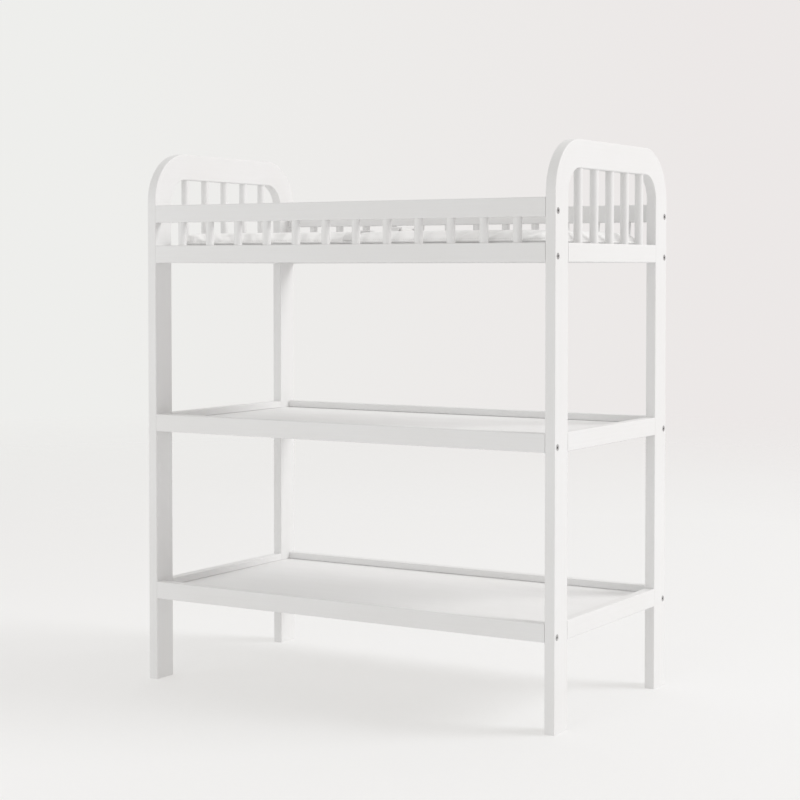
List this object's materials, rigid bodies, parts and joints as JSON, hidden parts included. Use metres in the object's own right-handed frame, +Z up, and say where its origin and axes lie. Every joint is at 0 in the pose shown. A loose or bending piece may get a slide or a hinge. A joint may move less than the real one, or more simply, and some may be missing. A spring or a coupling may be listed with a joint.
{
  "type": "changing table",
  "caption": "Open baby changing table with arched spindle end panels, a railed top tray with a strapped pad, and open shelves below.",
  "frame": {"origin": "on the floor under the middle of the table", "axes": "+X along the table's length to the right, +Y to its back, +Z up"},
  "size_m": [0.9, 0.48, 1.045],
  "materials": {
    "painted_wood": "satin white paint on solid wood",
    "painted_board": "satin white paint on fibreboard",
    "bolt_steel": "nickel plated",
    "nut_steel": "zinc plated",
    "dowel_wood": "raw beech",
    "pad_cover": "wipe-clean coated cotton over foam",
    "webbing": "woven nylon",
    "buckle_plastic": "moulded satin plastic"
  },
  "bodies": {
    "frame": {"back_guard_rail": "painted_wood", "back_left_post": "painted_wood", "back_lower_rail": "painted_wood", "back_middle_rail": "painted_wood", "back_right_post": "painted_wood", "back_spindle_1": "painted_wood", "back_spindle_10": "painted_wood", "back_spindle_11": "painted_wood", "back_spindle_12": "painted_wood", "back_spindle_2": "painted_wood", "back_spindle_3": "painted_wood", "back_spindle_4": "painted_wood", "back_spindle_5": "painted_wood", "back_spindle_6": "painted_wood", "back_spindle_7": "painted_wood", "back_spindle_8": "painted_wood", "back_spindle_9": "painted_wood", "back_tray_rail": "painted_wood", "barrel_nuts": "nut_steel", "connector_bolts": "bolt_steel", "end_panel_dowels": "dowel_wood", "front_guard_rail": "painted_wood", "front_left_post": "painted_wood", "front_lower_rail": "painted_wood", "front_middle_rail": "painted_wood", "front_right_post": "painted_wood", "front_spindle_1": "painted_wood", "front_spindle_10": "painted_wood", "front_spindle_11": "painted_wood", "front_spindle_12": "painted_wood", "front_spindle_2": "painted_wood", "front_spindle_3": "painted_wood", "front_spindle_4": "painted_wood", "front_spindle_5": "painted_wood", "front_spindle_6": "painted_wood", "front_spindle_7": "painted_wood", "front_spindle_8": "painted_wood", "front_spindle_9": "painted_wood", "front_tray_rail": "painted_wood", "left_arch": "painted_wood", "left_end_spindles": "painted_wood", "left_lower_end_rail": "painted_wood", "left_middle_end_rail": "painted_wood", "left_tray_end_rail": "painted_wood", "lower_shelf_board": "painted_board", "middle_shelf_board": "painted_board", "right_arch": "painted_wood", "right_end_spindles": "painted_wood", "right_lower_end_rail": "painted_wood", "right_middle_end_rail": "painted_wood", "right_tray_end_rail": "painted_wood", "side_rail_dowels": "dowel_wood", "tray_board": "painted_board"},
    "pad": {"changing_pad": "pad_cover", "front_strap": "webbing", "back_strap": "webbing", "buckle_socket": "buckle_plastic"},
    "tongue": {"buckle_tongue": "buckle_plastic", "strap_tail": "webbing"}
  },
  "joints": [
    {"name": "pad_lift", "type": "slide", "parent": "frame", "child": "pad", "axis": [0, 0, 1], "range_m": [0, 0.22]},
    {"name": "buckle_release", "type": "slide", "parent": "pad", "child": "tongue", "axis": [0, -1, 0], "range_m": [0, 0.033]}
  ]
}
